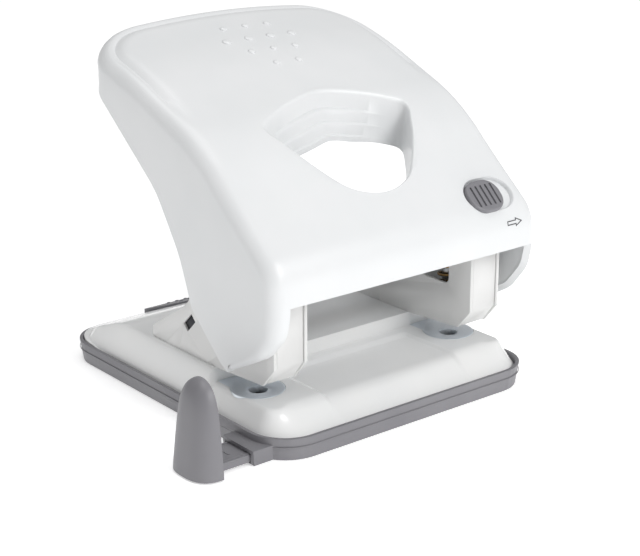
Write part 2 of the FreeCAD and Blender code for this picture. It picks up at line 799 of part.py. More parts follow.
def make_lever_frame():
    up = above_paper
    cheeks = []
    for side, sign in SIDES.items():
        body = new_body(f"cheek_{side}")
        centre = sign * (cheek_x + dim.cheek_gauge / 2)
        sketch = new_sketch(body, "YZ_Plane", f"cheek_{side}_outline", centre)
        draw_outline(sketch, [
            (dim.pivot_back - 7.0, pivot_z - 6.8, 5),
            (rod_back + 4.5, rod_z - 6.9, 6),
            (17.0, up(45.0), 12),
            (30.0, up(62.0), 12),
            (59.0, screw_plane(as_size(59.0)) - 7.5, 3),
            (62.0, screw_plane(as_size(62.0)), 2),
            (40.0, screw_plane(as_size(40.0)), 6),
            (-3.5, up(55.0), 8),
            (dim.pivot_back - 7.0, pivot_z + 3.5, 5),
        ])
        draw_circle(sketch, dim.pivot_back, pivot_z, dim.axle_radius + dim.run_gap)
        draw_circle(sketch, rod_back, rod_z, dim.rod_radius + dim.fit_gap)
        pad(body, sketch, dim.cheek_gauge, middle=True)
        cheeks.append(body)
    reach = cheek_x + dim.cheek_gauge / 2
    plate = doc.addObject("Part::Box", "cross_plate")
    drive(plate, Length=reach * 2, Width=20.0, Height=dim.cheek_gauge)
    thick = dim.cheek_gauge * math.cos(REAR_ANGLE)
    place(plate, -reach, 43.0 + dim.cheek_gauge * math.sin(REAR_ANGLE), screw_plane(as_size(43.0)) - thick, REAR_TILT)
    holes = [rod(f"frame_hole_{name}", dim.screw_radius + 0.2, 12, on_screw(x, y, 6), REAR_TILT)
             for name, x, y in SCREWS]
    frame = fuse("lever_whole", cheeks + [plate])
    finish(cut("lever_cut", frame, holes), "lever_frame")


def make_cover_screws():
    """Screws from below through the cross plate into the cover's bosses."""
    screws = []
    under = dim.cheek_gauge
    for name, x, y in SCREWS:
        shank = rod(f"shank_{name}", dim.screw_radius, under + 2.2, on_screw(x, y, under), REAR_TILT)
        head = rod(f"head_{name}", 2.8, 1.6, on_screw(x, y, under + 1.6), REAR_TILT)
        screws.append(fuse(f"screw_{name}", [shank, head]))
    group = doc.addObject("Part::Compound", "cover_screws_group")
    group.Links = screws
    finish(group, "cover_screws")


def make_press_rod():
    reach = cheek_x + dim.cheek_gauge + 1.4
    finish(rod("press_rod_bar", dim.rod_radius, reach * 2, (-reach, rod_back, rod_z), ALONG_X), "press_rod")


def make_roller(side, sign):
    half = half_tower - dim.plate_gauge - 0.4
    centre = sign * tower_x
    finish(ring(f"roller_{side}", dim.roller_radius, dim.rod_radius + dim.fit_gap, half * 2,
                centre - half, rod_back, rod_z), f"press_roller_{side}")


def make_lock_button():
    body = new_body("button_body")
    half = dim.button_width / 2
    tall = dim.button_length / 2
    plate = new_sketch(body, "XY_Plane", "button_outline", -1.2)
    draw_outline(plate, rounded(-half, half, -tall, tall, 5.2))
    pad(body, plate, 2.6)
    fillet(body, "button_round", 0.7, lambda edge: near(edge_box(edge).ZMin, 1.4))
    grooves = new_sketch(body, "XY_Plane", "button_grooves", 1.5)
    for number in range(5):
        middle = (number - 2) * 2.1
        draw_outline(grooves, [(middle - 0.4, -3.8), (middle + 0.4, -3.8), (middle + 0.4, 3.8), (middle - 0.4, 3.8)])
    pocket(body, grooves, 0.7)
    stem = new_sketch(body, "XY_Plane", "button_stem", -1.2)
    draw_outline(stem, [(-2.0, -1.1), (2.0, -1.1), (2.0, 1.1), (-2.0, 1.1)])
    pad(body, stem, dim.handle_wall - 0.9, backwards=True)
    finish(tilted(body, dim.lock_back, lock_z), "lock_button")


def make_lock_bolt():
    """Flat bolt under the skin; its tip reaches for the right outer bracket's ear."""
    top = dim.handle_wall + 0.3
    body = new_body("bolt_body")
    tip = tower_x + half_tower - dim.plate_gauge - 0.5 - dim.lock_across
    sketch = new_sketch(body, "XY_Plane", "bolt_outline", -top)
    draw_outline(sketch, [(-6.0, -1.1), (tip, -1.1), (tip, 1.1), (-6.0, 1.1)])
    pad(body, sketch, 2.4, backwards=True)
    finish(tilted(body, dim.lock_back, lock_z), "lock_bolt")


# ---- paper guide ---------------------------------------------------------------------------

def make_paper_guide():
    body = new_body("guide_body")
    arm = new_sketch(body, "XY_Plane", "guide_arm", dim.guide_lift)
    face = -dim.guide_face
    front = -dim.guide_front
    rear = dim.guide_width - dim.guide_front
    draw_outline(arm, [(face - 2, front), (half_base - 10, front), (half_base - 10, rear), (face - 2, rear)])
    pad(body, arm, dim.guide_gauge)
    foot = new_sketch(body, "XY_Plane", "fin_foot", 0.5)
    draw_outline(foot, [(face, -24.2), (face, -5.0), (face - 6.8, -5.0, 5.5), (face - 8.6, -15.5, 14),
                        (face - 5.2, -24.2, 4.5)])
    crown = new_sketch(body, "XY_Plane", "fin_crown", dim.fin_height)
    draw_outline(crown, [(face, -18.0), (face, -11.0), (face - 3.4, -11.0, 2.4), (face - 4.4, -14.6, 5),
                         (face - 3.2, -18.0, 2.2)])
    doc.recompute()
    loft = body.newObject("PartDesign::AdditiveLoft", "fin_loft")
    loft.Profile = foot
    loft.Sections = [crown]
    finish(body, "paper_guide")


# ---- build, test and write -----------------------------------------------------------------

def build():
    make_bedplate()
    make_tray()
    for side, sign in SIDES.items():
        make_die(side, sign)
        for face, across in (("outer", 1), ("inner", -1)):
            make_bracket(side, sign, face, across)
        make_tower_front(side, sign)
        make_pin_guide(side, sign)
        make_pin(side, sign)
        make_collar(side, sign)
        make_spring(side, sign)
        make_roller(side, sign)
    make_tie_bar()
    make_axle()
    plate_out = tower_x + half_tower
    make_ring_pair("axle_washers", 4.6, dim.axle_radius + dim.run_gap, dim.cheek_gap - 0.1, plate_out + 0.05,
                   dim.pivot_back, pivot_z)
    clip_start = cheek_x + dim.cheek_gauge + 0.1
    make_ring_pair("axle_clips", 4.6, dim.axle_radius + dim.fit_gap, as_size(0.8), clip_start,
                   dim.pivot_back, pivot_z)
    make_ring_pair("rod_clips", 4.2, dim.rod_radius + dim.fit_gap, as_size(0.8), clip_start, rod_back, rod_z)
    make_handle_cover()
    make_lever_frame()
    make_cover_screws()
    make_press_rod()
    make_lock_button()
    make_lock_bolt()
    make_paper_guide()


def test_and_write():
    doc.recompute()
    faulty = [obj.Name for obj in doc.Objects if "Invalid" in obj.State or "Error" in obj.State]
    if faulty:
        raise RuntimeError(f"did not compute: {faulty}")
    os.makedirs("parts", exist_ok=True)
    for obj in finished:
        shape = obj.Shape
        if shape.isNull() or not shape.isValid() or not shape.Solids:
            raise RuntimeError(f"{obj.Label} has no valid solid")
        shape.exportStep(f"parts/{obj.Label}.step")
        print(f"{obj.Label}: {shape.Volume:.0f} mm3, {len(shape.Solids)} solid(s)")


build()
test_and_write()
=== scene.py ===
import json
import math

import bmesh
import bpy
from mathutils import Matrix, Vector


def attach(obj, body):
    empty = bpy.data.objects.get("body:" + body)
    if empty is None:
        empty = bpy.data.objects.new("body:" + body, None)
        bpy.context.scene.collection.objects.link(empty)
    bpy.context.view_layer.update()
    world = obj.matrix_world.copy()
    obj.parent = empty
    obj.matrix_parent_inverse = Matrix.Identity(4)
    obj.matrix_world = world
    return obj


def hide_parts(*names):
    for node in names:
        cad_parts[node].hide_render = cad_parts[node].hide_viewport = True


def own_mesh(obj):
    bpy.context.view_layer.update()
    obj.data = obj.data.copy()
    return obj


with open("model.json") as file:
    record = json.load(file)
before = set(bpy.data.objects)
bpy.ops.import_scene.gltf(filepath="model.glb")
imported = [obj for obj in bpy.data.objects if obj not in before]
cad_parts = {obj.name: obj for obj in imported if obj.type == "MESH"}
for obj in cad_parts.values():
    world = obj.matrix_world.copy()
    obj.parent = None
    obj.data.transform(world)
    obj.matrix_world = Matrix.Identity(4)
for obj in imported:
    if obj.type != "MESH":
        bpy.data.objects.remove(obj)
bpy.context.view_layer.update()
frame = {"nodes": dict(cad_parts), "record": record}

mm = 0.001
paperZ = 13.3                                   # height of the die plane above the table, mm


# ---- materials ----

def linearColour(hexText):
    channels = [int(hexText[i:i + 2], 16) / 255 for i in (1, 3, 5)]
    return [c / 12.92 if c <= 0.04045 else ((c + 0.055) / 1.055) ** 2.4 for c in channels] + [1.0]


def addNode(tree, kind, links=(), **settings):
    # a settings key that is a socket's name sets that socket, any other sets the node itself
    node = tree.nodes.new(kind)
    for key, value in settings.items():
        socket = node.inputs.get(key.replace("_", " "))
        if hasattr(node, key):
            setattr(node, key, value)
        elif socket:
            socket.default_value = value
    for source, socket in links:
        tree.links.new(source, node.inputs[socket])
    return node


def newMaterial(name, baseHex, roughness, metallic=0.0, ior=None, coat=0.0):
    material = bpy.data.materials.new(name)
    material.use_nodes = True
    shader = material.node_tree.nodes["Principled BSDF"]
    shader.inputs["Base Color"].default_value = linearColour(baseHex)
    shader.inputs["Roughness"].default_value = roughness
    shader.inputs["Metallic"].default_value = metallic
    shader.inputs["Coat Weight"].default_value = coat
    if ior:
        shader.inputs["IOR"].default_value = ior
    return material, material.node_tree, shader


def addGrain(tree, shader, sizeMm, depthMm, baseHex, darkHex, amount, roughness, spread):
    # fine grain: a bump of the given size, slight colour drift and a roughness that varies with it
    place = addNode(tree, "ShaderNodeTexCoord").outputs["Object"]
    grain = addNode(tree, "ShaderNodeTexNoise", [(place, "Vector")], Scale=1 / (sizeMm * mm), Detail=3.0)
    cloud = addNode(tree, "ShaderNodeTexNoise", [(place, "Vector")], Scale=1 / (22 * mm), Detail=2.0)
    tint = addNode(tree, "ShaderNodeValToRGB", [(cloud.outputs["Fac"], "Fac")])
    tint.color_ramp.elements[0].position = 0.5 - amount
    tint.color_ramp.elements[1].position = 0.5 + amount
    tint.color_ramp.elements[0].color = linearColour(darkHex)
    tint.color_ramp.elements[1].color = linearColour(baseHex)
    rough = addNode(tree, "ShaderNodeMapRange", [(grain.outputs["Fac"], "Value")])
    rough.inputs["To Min"].default_value = roughness - spread
    rough.inputs["To Max"].default_value = roughness + spread
    bump = addNode(tree, "ShaderNodeBump", [(grain.outputs["Fac"], "Height")], Strength=0.35,
                   Distance=depthMm * mm)
    tree.links.new(tint.outputs["Color"], shader.inputs["Base Color"])
    tree.links.new(rough.outputs["Result"], shader.inputs["Roughness"])
    tree.links.new(bump.outputs["Normal"], shader.inputs["Normal"])


def makeMouldedAbs():
    # moulded ABS with a satin finish: white with broad soft highlights, no visible grain
    material, tree, shader = newMaterial("mouldedAbsWhite", "#e7e8e9", 0.34, ior=1.54)
    addGrain(tree, shader, 0.9, 0.012, "#e8e9ea", "#e3e5e6", 0.3, 0.34, 0.03)
    return material


def makePowderCoat():
    # powder-coated steel sheet: white, with the faint orange peel that baked powder leaves
    material, tree, shader = newMaterial("powderCoatWhite", "#e2e2e1", 0.3, ior=1.5, coat=0.12)
    addGrain(tree, shader, 1.3, 0.03, "#e3e3e2", "#dcdcdb", 0.3, 0.3, 0.04)
    return material


def makeBrightenedBedWhite():
    # white steel of the pressed bedplate, smoother and glossier than the brackets; its very bright white is
    # painted light, a lit copy of the brackets' white that makes the bed under the cover look lit from the
    # front
    material, tree, shader = newMaterial("bedWhiteBrightenedForLight", "#fbfbfa", 0.22, ior=1.52, coat=0.25)
    addGrain(tree, shader, 2.2, 0.02, "#fcfcfb", "#f7f8f8", 0.3, 0.22, 0.04)
    return material


def makeGreyPolystyrene():
    # moulded high-impact polystyrene with a spark-eroded texture: mid grey with a slight violet cast
    material, tree, shader = newMaterial("mouldedPolystyreneGrey", "#8a898f", 0.44, ior=1.55)
    addGrain(tree, shader, 0.45, 0.03, "#868589", "#7b7a7f", 0.3, 0.42, 0.06)
    return material


def makeZincPlate():
    # bright zinc plating over stamped steel: cool bluish metal with fine directional wipe marks
    material, tree, shader = newMaterial("zincPlatedSteel", "#f1f5f9", 0.3, metallic=0.5)
    addGrain(tree, shader, 0.9, 0.006, "#f3f7fb", "#dde6ef", 0.3, 0.3, 0.05)
    return material


def makeGroundSteel():
    # ground and polished tool steel: fine rings across the rod that stretch the highlights
    material, tree, shader = newMaterial("groundSteel", "#b6b7b9", 0.24, metallic=1.0)
    place = addNode(tree, "ShaderNodeTexCoord").outputs["Object"]
    squeeze = addNode(tree, "ShaderNodeMapping", [(place, "Vector")])
    squeeze.inputs["Scale"].default_value = (8.0, 0.4, 8.0)
    rings = addNode(tree, "ShaderNodeTexNoise", [(squeeze.outputs["Vector"], "Vector")], Scale=1 / (2 * mm),
                    Detail=2.0)
    rough = addNode(tree, "ShaderNodeMapRange", [(rings.outputs["Fac"], "Value")])
    rough.inputs["To Min"].default_value = 0.16
    rough.inputs["To Max"].default_value = 0.34
    bump = addNode(tree, "ShaderNodeBump", [(rings.outputs["Fac"], "Height")], Strength=0.2,
                   Distance=0.01 * mm)
    tree.links.new(rough.outputs["Result"], shader.inputs["Roughness"])
    tree.links.new(bump.outputs["Normal"], shader.inputs["Normal"])
    return material


def makeBlackenedSteel():
    # steel blackened in oil: nearly black, slightly mottled, with a dull sheen
    material, tree, shader = newMaterial("blackenedSteel", "#3a3b3e", 0.42, metallic=1.0)
    addGrain(tree, shader, 0.8, 0.02, "#424347", "#2c2d30", 0.3, 0.4, 0.08)
    return material


def makeSpringWire():
    # phosphated music wire: warm golden brown, satin, with drawing lines
    material, tree, shader = newMaterial("phosphatedWire", "#a98c5c", 0.3, metallic=1.0)
    addGrain(tree, shader, 0.5, 0.01, "#b39667", "#7d6440", 0.3, 0.3, 0.06)
    return material


def makePrintInk():
    # pad-printed ink: matt dark grey, a few hundredths of a millimetre thick
    material, tree, shader = newMaterial("padPrintInk", "#4a4a4e", 0.6, ior=1.5)
    addGrain(tree, shader, 0.3, 0.005, "#4c4c50", "#434347", 0.3, 0.6, 0.05)
    return material


finishOf = {
    "white_plastic": makeMouldedAbs(),
    "white_steel": makePowderCoat(),
    "grey_plastic": makeGreyPolystyrene(),
    "zinc": makeZincPlate(),
    "bright_steel": makeGroundSteel(),
    "dark_steel": makeBlackenedSteel(),
    "spring_steel": makeSpringWire(),
}
printInk = makePrintInk()
# the bedplate's brightened white is painted light, a lit copy of the brackets' white steel
brightenedBedWhite = makeBrightenedBedWhite()
slotOf = {part["node"]: part["material_slot"] for part in frame["record"]["subparts"]}
bodyOf = {node: body for body, nodes in frame["record"]["behaviour"]["bodies"].items() for node in nodes}
print("materials made")


# ---- shared steps ----

def mix(a, b, amount):
    return a + (b - a) * amount


def ease(low, high, value):
    # smooth rise from 0 at low to 1 at high
    share = min(1.0, max(0.0, (value - low) / (high - low)))
    return share * share * (3 - 2 * share)


def makePiece(name, shape, body, slotName, material=None, replaced=(), smoothAngle=35, fixNormals=True):
    # turns a bmesh in mm into a finished piece in metres
    bmesh.ops.scale(shape, vec=(mm, mm, mm), verts=shape.verts)
    if fixNormals:
        bmesh.ops.recalc_face_normals(shape, faces=shape.faces)
    mesh = bpy.data.meshes.new(name)
    shape.to_mesh(mesh)
    shape.free()
    return finishPiece(name, mesh, body, slotName, material, replaced, smoothAngle)


def finishPiece(name, mesh, body, slotName, material=None, replaced=(), smoothAngle=35):
    piece = bpy.data.objects.new(name, mesh)
    bpy.context.scene.collection.objects.link(piece)
    mesh.materials.clear()
    mesh.materials.append(material or finishOf[slotName])
    mesh.shade_smooth()
    if smoothAngle < 180:
        mesh.set_sharp_from_angle(angle=math.radians(smoothAngle))
    if body:
        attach(piece, body)
    if replaced:
        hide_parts(*replaced)
    return piece


def bakeModifiers(piece, smoothAngle=35):
    # replaces the piece's mesh by what its modifiers make of it
    graph = bpy.context.evaluated_depsgraph_get()
    baked = bpy.data.meshes.new_from_object(piece.evaluated_get(graph))
    piece.modifiers.clear()
    piece.data = baked
    baked.shade_smooth()
    baked.set_sharp_from_angle(angle=math.radians(smoothAngle))


def roundedPath(corners, step=1.5):
    # points along straight runs and tangent arcs through (a, b) or (a, b, radius) corners
    path = [Vector(corners[0][:2])]
    for before, corner, after in zip(corners, corners[1:], corners[2:]):
        here = Vector(corner[:2])
        if len(corner) == 2:
            path.append(here)
            continue
        came = (Vector(before[:2]) - here).normalized()
        goes = (Vector(after[:2]) - here).normalized()
        halfAngle = came.angle(goes) / 2
        reach = corner[2] / math.tan(halfAngle)
        centre = here + (came + goes).normalized() * (corner[2] / math.sin(halfAngle))
        turn = math.pi - 2 * halfAngle
        count = max(2, round(corner[2] * turn / step))
        start = here + came * reach - centre
        side = 1 if came.cross(goes) < 0 else -1
        for i in range(count + 1):
            path.append(centre + (Matrix.Rotation(side * turn * i / count, 2) @ start))
    path.append(Vector(corners[-1][:2]))
    return path


class Track:
    # a path that can be asked for the point and direction at any share of its length
    def __init__(self, points):
        self.points = points
        self.marks = [0.0]
        for a, b in zip(points, points[1:]):
            self.marks.append(self.marks[-1] + (b - a).length)
        self.length = self.marks[-1]

    def at(self, run):
        run = min(self.length, max(0.0, run))
        i = max(k for k, mark in enumerate(self.marks[:-1]) if mark <= run)
        a, b = self.points[i], self.points[i + 1]
        return a.lerp(b, (run - self.marks[i]) / max(1e-9, (b - a).length))

    def heading(self, run, reach=1.2):
        return (self.at(run + reach) - self.at(run - reach)).normalized()

    def runAt(self, value, axis=0, start=0.0):
        # first run past start where the path's coordinate crosses value
        for i, mark in enumerate(self.marks[:-1]):
            a, b = self.points[i][axis], self.points[i + 1][axis]
            if mark >= start and a != b and min(a, b) <= value <= max(a, b):
                return mark + (value - a) / (b - a) * (self.marks[i + 1] - mark)
        raise ValueError("the path never gets there")


def closedCurve(points, perSpan=8):
    # smooth closed line through the points (Catmull-Rom)
    line = []
    count = len(points)
    for i in range(count):
        p0, p1, p2, p3 = (Vector(points[(i + k) % count]) for k in (-1, 0, 1, 2))
        for k in range(perSpan):
            t = k / perSpan
            line.append(0.5 * ((2 * p1) + (p2 - p0) * t + (2 * p0 - 5 * p1 + 4 * p2 - p3) * t * t
                               + (3 * p1 - p0 - 3 * p2 + p3) * t ** 3))
    return line


def insideLoop(loop, point):
    inside = False
    for a, b in zip(loop, loop[1:] + loop[:1]):
        if (a[1] > point[1]) != (b[1] > point[1]):
            if point[0] < a[0] + (point[1] - a[1]) / (b[1] - a[1]) * (b[0] - a[0]):
                inside = not inside
    return inside


def nearestOnLoop(loop, point):
    best = None
    for a, b in zip(loop, loop[1:] + loop[:1]):
        share = min(1.0, max(0.0, (point - a).dot(b - a) / max(1e-12, (b - a).length_squared)))
        spot = a.lerp(b, share)
        if best is None or (spot - point).length_squared < (best - point).length_squared:
            best = spot
    return best


# ---- handle cover ----

cover = {
    "halfWidth": 54.0, "wall": 2.4, "edge": 5.0, "rearCorner": 21.0,
    "lipBottom": 34.3, "leftFlange": 6.2, "rightFlange": 1.2,
    "cell": 1.5,
    "openingRim": [(0, 21.2), (13, 18.4), (23.5, 14.2), (29.2, 10.6), (26.6, 4.6), (21.6, -2.2), (14.2, -9.3),
                   (7.5, -12.4), (0, -13.4)],
    "grooveIn": 5.4, "grooveDepth": 1.1, "grooveWidth": 1.3,
    "lockX": 35.0, "lockY": -19.6, "lockHalf": 7.4, "lockTall": 6.4, "lockTravel": 5.5, "lockDepth": 1.4,
}


def relative(corners):
    # heights in these outlines count from the die plane
    return [(corner[0], corner[1] + paperZ, *corner[2:]) for corner in corners]


# front edge of the side panel, the front lip, the sloping front and the flatter rear, at mid-width
coverTop = Track(roundedPath(relative([
    (-5.0, 10.6), (-17.0, 16.9, 14), (-25.0, 25.5, 12), (-26.4, 33), (-26.4, 46.3, 14), (7.0, 78.0, 75),
    (42.0, 94.3, 150), (75.0, 104.4)])))
# lower and rear edge of the side panel, from the same foot to the same rear edge
coverUnder = Track(roundedPath(relative([
    (-3.6, 9.9), (0.0, 11.9), (14.5, 25.2, 4), (20.5, 40.5, 40), (32.4, 58.3, 30), (66.0, 85.0, 12),
    (69.5, 93.0)])))
lipRun = coverTop.runAt(paperZ + cover["lipBottom"], axis=1)
bendRun = coverTop.runAt(0.0, start=lipRun)


def crownAt(run):
    # how much lower the skin lies at the side walls than at mid-width
    rear = (run - bendRun) / (coverTop.length - bendRun)
    if run < lipRun:
        return 0.2
    if run < bendRun:
        return mix(0.2, 2.6, ease(lipRun, bendRun, run))
    return mix(2.6, 4.7, min(1.0, rear))


def edgeAt(run):
    return mix(1.6, cover["edge"], ease(0.0, lipRun * 0.8, run))


def coverPoint(x, run, drop=0.0):
    # a place on the cover's skin: x across, run along the profile, drop below the skin
    spot = coverTop.at(run)
    ahead = coverTop.heading(run)
    inward = Vector((ahead.y, -ahead.x))
    share = min(1.0, abs(x) / cover["halfWidth"])
    spot = spot + inward * (crownAt(run) * share * share + drop)
    return Vector((x, spot.x, spot.y))


def coverMargin(x, run):
    # distance in from the side and rear edges, with the rear corners rounded
    corner = cover["rearCorner"]
    fromSide = cover["halfWidth"] - abs(x)
    fromRear = coverTop.length - run
    if fromSide < corner and fromRear < corner:
        return corner - math.hypot(corner - fromSide, corner - fromRear)
    return min(fromSide, fromRear)


def roundCorner(x, run):
    # moves a point of a square ring onto the ring with rounded rear corners
    fromSide = cover["halfWidth"] - abs(x)
    fromRear = coverTop.length - run
    ring = min(fromSide, fromRear)
    radius = cover["rearCorner"] - ring
    if radius <= 0:
        return x, run
    centreX = cover["halfWidth"] - cover["rearCorner"]
    centreRun = coverTop.length - cover["rearCorner"]
    if abs(x) <= centreX or run <= centreRun:
        return x, run
    away = Vector((abs(x) - centreX, run - centreRun)).normalized() * radius
    return math.copysign(centreX + away.x, x), centreRun + away.y


def coverSkin(x, run):
    # the skin with its rounded edges, the groove round the rear panel and the soft crease
    margin = coverMargin(x, run)
    edge = edgeAt(run)
    drop = 0.0
    if margin < edge:
        drop = edge - math.sqrt(max(0.0, edge * edge - (edge - margin) ** 2))
    offset = (margin - cover["grooveIn"]) / cover["grooveWidth"]
    fade = ease(bendRun + 18, bendRun + 42, run)
    drop += cover["grooveDepth"] * math.exp(-offset * offset) * fade
    drop += 0.55 * (1 - ease(cover["grooveIn"] - 1, cover["grooveIn"] + 1.5, margin)) * fade
    return coverPoint(x, run, drop)


def spacedMarks(length, edge, cell):
    # marks from 0 to length, close together over the rounded edge at 0
    near = [edge * (1 - math.cos(math.radians(a))) for a in (0, 15, 30, 45, 60, 75, 90)]
    count = max(1, round((length - edge) / cell))
    return near + [edge + (length - edge) * (i + 1) / count for i in range(count)]


def openLoop(shape, faces):
    # removes faces and returns the edges left round the hole
    rim = {edge for face in faces for edge in face.edges
           if sum(other in faces for other in edge.link_faces) == 1}
    bmesh.ops.delete(shape, geom=list(faces), context="FACES")
    return [edge for edge in rim if edge.is_valid]


def makeCover():
    half = cover["halfWidth"]
    side = spacedMarks(half, cover["edge"], cover["cell"])
    columns = [-half + d for d in side] + [half - d for d in reversed(side[:-1])]
    rear = spacedMarks(coverTop.length, cover["edge"], cover["cell"])
    rows = [coverTop.length - d for d in reversed(rear)]
    shape = bmesh.new()
    bmesh.ops.create_grid(shape, x_segments=len(columns) - 1, y_segments=len(rows) - 1, size=0.5)
    flat = shape.verts.layers.float_vector.new("flat")
    for vert in shape.verts:
        column = round((vert.co.x + 0.5) * (len(columns) - 1))
        row = round((vert.co.y + 0.5) * (len(rows) - 1))
        vert[flat] = (*roundCorner(columns[column], rows[row]), 0)

    # below the lip only the side flanges go on
    def centreOf(face):
        return sum((vert[flat] for vert in face.verts), Vector()) / len(face.verts)

    low = [face for face in shape.faces
           if centreOf(face).y < lipRun
           and cover["leftFlange"] - half < centreOf(face).x < half - cover["rightFlange"]]
    bmesh.ops.delete(shape, geom=low, context="FACES")

    # the finger opening and the lock slider's track are cut to smooth outlines
    rim = openingOutline()
    track = lockOutline()
    walls = []
    for loop in (rim, track):
        faces = {face for face in shape.faces if insideLoop(loop, centreOf(face))}
        edges = openLoop(shape, faces)
        for vert in {vert for edge in edges for vert in edge.verts}:
            spot = nearestOnLoop(loop, Vector(vert[flat][:2]))
            vert[flat] = (spot.x, spot.y, 0)
        walls.append(edges)
    loose = [vert for vert in shape.verts if not vert.link_faces]
    bmesh.ops.delete(shape, geom=loose, context="VERTS")
    for vert in shape.verts:
        vert.co = coverSkin(vert[flat].x, vert[flat].y)
    growOpening(shape, walls[0])
    growTrack(shape, walls[1])
    growSkirt(shape, flat)
    bmesh.ops.recalc_face_normals(shape, faces=shape.faces)
    if sum((face.normal.z * face.calc_area() for face in shape.faces)) < 0:
        bmesh.ops.reverse_faces(shape, faces=shape.faces)
    piece = makePiece("coverShell", shape, "handle", "white_plastic", replaced=["handle_cover"],
                      smoothAngle=180, fixNormals=False)
    thick = piece.modifiers.new("wall", "SOLIDIFY")
    thick.thickness = cover["wall"] * mm
    thick.offset = -1
    thick.use_even_offset = False
    bakeModifiers(piece, 40)
    for vert in piece.data.vertices:
        vert.co.x = max(-half * mm, min(half * mm, vert.co.x))
    return piece


def openingOutline():
    half = cover["openingRim"]
    line = closedCurve(half + [(-x, y) for x, y in reversed(half[1:-1])])
    return [Vector((x, coverTop.runAt(y, start=lipRun + 12))) for x, y in line]


def lockOutline():
    # an oval track, longer towards the right where the slider travels
    middle = coverTop.runAt(cover["lockY"], start=lipRun + 5)
    line = []
    for i in range(72):
        turn = math.radians(i * 5)
        x = math.cos(turn) * cover["lockHalf"] + (cover["lockTravel"] if math.cos(turn) > 0 else 0)
        line.append(Vector((cover["lockX"] + x, middle + math.sin(turn) * cover["lockTall"])))
    return line


def extrudeRing(shape, edges):
    # extrudes a ring of edges and returns the new edges and their vertices
    made = bmesh.ops.extrude_edge_only(shape, edges=edges)["geom"]
    return ([item for item in made if isinstance(item, bmesh.types.BMEdge)],
            [item for item in made if isinstance(item, bmesh.types.BMVert)])


def growOpening(shape, edges):
    # the rim rolls over, then the wall goes down; towards the rear it steps in like three small ledges
    centre = Vector((0, 4.0))
    rolled = ((0.12, 0.45), (0.45, 0.45), (0.9, 0.3))
    ledges = ((4.6, 0.35), (0.35, 1.5), (0.35, 0.3), (3.2, 0.3), (0.35, 1.4), (0.35, 0.3), (3.0, 0.3),
              (0.35, 1.2), (1.6, 0.25))
    verts = {vert for edge in edges for vert in edge.verts}
    for number, (down, inward) in enumerate(rolled + ledges):
        edges, verts = extrudeRing(shape, edges)
        for vert in verts:
            away = Vector((vert.co.x, vert.co.y)) - centre
            towardsRear = ease(0.1, 0.75, away.normalized().y) * (1 - ease(9, 24, vert.co.x))
            step = inward if number < len(rolled) else mix(0.12 * down, inward, towardsRear)
            away.normalize()
            vert.co += Vector((-away.x * step, -away.y * step, -down))


def growTrack(shape, edges):
    ahead = coverTop.heading(coverTop.runAt(cover["lockY"], start=lipRun + 5))
    inward = Vector((0, ahead.y, -ahead.x))
    for down, shrink in ((0.15, 0.985), (0.35, 0.975), (cover["lockDepth"] - 0.5, 0.985)):
        edges, verts = extrudeRing(shape, edges)
        centre = sum((vert.co for vert in verts), Vector()) / len(verts)
        for vert in verts:
            vert.co = centre + (vert.co - centre) * shrink + inward * down
    bmesh.ops.contextual_create(shape, geom=edges)


def growSkirt(shape, flat):
    # the side walls and the rear wall hang from the rounded edge
    total = coverTop.length
    edges = []
    for edge in shape.edges:
        if len(edge.link_faces) != 1:
            continue
        margins = [coverMargin(vert[flat].x, vert[flat].y) for vert in edge.verts]
        if max(abs(margin) for margin in margins) < 1e-3 and max(vert[flat].y for vert in edge.verts) > 0.5:
            edges.append(edge)
    for share in (0.5, 1.0):
        edges, verts = extrudeRing(shape, edges)
        for vert in verts:
            run = vert[flat].y
            foot = coverUnder.at(run / total * coverUnder.length)
            below = Vector((vert.co.x, foot.x, foot.y))
            vert.co = vert.co.lerp(below, 0.5 if share < 1 else 1.0)


coverShell = makeCover()
print("cover made", len(coverShell.data.polygons))


# ---- raised dots, lock arrow ----

gripDots = {
    "rows": ((60.0, (-8.8, 0.0, 8.8), 1.25), (52.0, (-13.2, -4.4, 4.4, 13.2), 1.6),
             (44.6, (-8.8, 0.0, 8.8), 1.25), (37.2, (-4.4, 4.4), 1.25)),
    "height": 0.6,
}


def addDome(shape, centre, normal, radius, height):
    # half an ellipsoid standing on the surface at centre
    made = bmesh.ops.create_uvsphere(shape, u_segments=20, v_segments=10, radius=radius)["verts"]
    turn = Vector((0, 0, 1)).rotation_difference(normal).to_matrix().to_4x4()
    place = Matrix.Translation(centre) @ turn @ Matrix.Diagonal((1, 1, height / radius, 1))
    bmesh.ops.transform(shape, matrix=place, verts=made)


def makeGripDots():
    shape = bmesh.new()
    for y, places, radius in gripDots["rows"]:
        run = coverTop.runAt(y - 1.6, start=bendRun)
        ahead = coverTop.heading(run)
        for x in places:
            addDome(shape, coverSkin(x, run), Vector((0, -ahead.y, ahead.x)), radius, gripDots["height"])
    return makePiece("gripDots", shape, "handle", "white_plastic", smoothAngle=180)


arrow = {"x": 43.4, "up": 43.6, "length": 6.6, "head": 3.0, "halfHead": 1.55, "halfShaft": 0.75, "line": 0.34}


def makeArrow():
    # outline of a plain arrow that points the way the slider locks
    half, head = arrow["length"] / 2, arrow["head"]
    corners = [(-half, -arrow["halfShaft"]), (half - head, -arrow["halfShaft"]),
               (half - head, -arrow["halfHead"]), (half, 0), (half - head, arrow["halfHead"]),
               (half - head, arrow["halfShaft"]), (-half, arrow["halfShaft"])]
    shape = bmesh.new()
    face = shape.faces.new([shape.verts.new((a, b, 0)) for a, b in corners])
    shape.normal_update()
    bmesh.ops.inset_individual(shape, faces=[face], thickness=arrow["line"], use_even_offset=True)
    bmesh.ops.delete(shape, geom=[face], context="FACES_ONLY")
    middle = coverTop.runAt(paperZ + arrow["up"], axis=1, start=lipRun)
    for vert in shape.verts:
        vert.co = coverPoint(arrow["x"] + vert.co.x, middle + vert.co.y, -0.03)
    return makePiece("lockArrow", shape, "handle", "grey_plastic", material=printInk)


